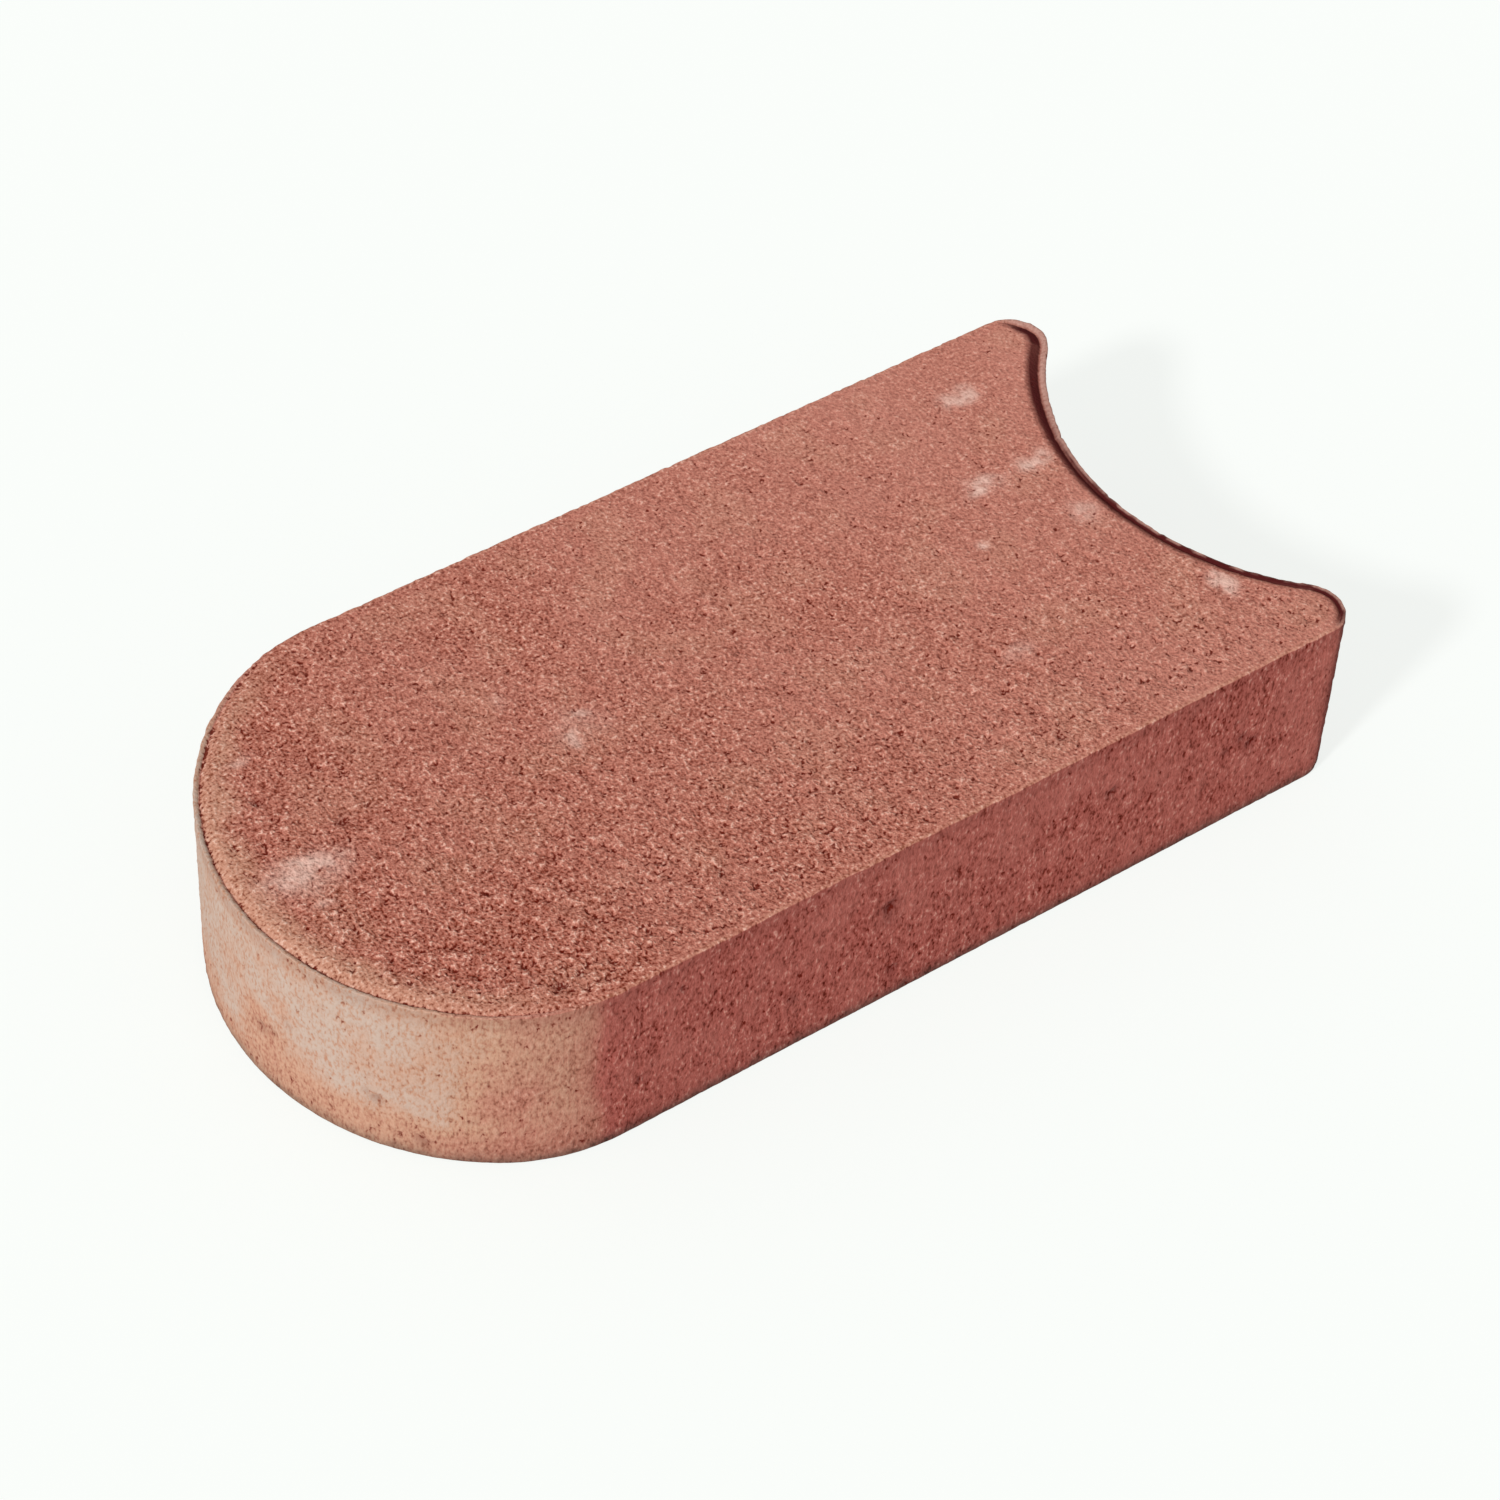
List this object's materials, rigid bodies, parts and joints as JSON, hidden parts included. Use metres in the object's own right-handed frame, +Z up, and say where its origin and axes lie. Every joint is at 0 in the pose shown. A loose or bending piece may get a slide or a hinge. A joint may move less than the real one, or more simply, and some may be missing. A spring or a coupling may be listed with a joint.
{
  "type": "lawn edging stone",
  "caption": "Flat cast concrete lawn edging stone with a rounded nose at one end and a matching hollow socket at the other, so stones nest in straight or curved rows.",
  "frame": {"origin": "middle of the bed face: the centre of the plan box, at the bottom", "axes": "+X along the stone from nose to socket, +Y across it, +Z up through the tread face"},
  "size_m": [0.24, 0.118, 0.045],
  "materials": {
    "red_concrete": "matt pressed concrete, through-coloured red, open-grained top and smoother moulded walls"
  },
  "bodies": {
    "root": {"edging_stone": "red_concrete"}
  },
  "joints": []
}
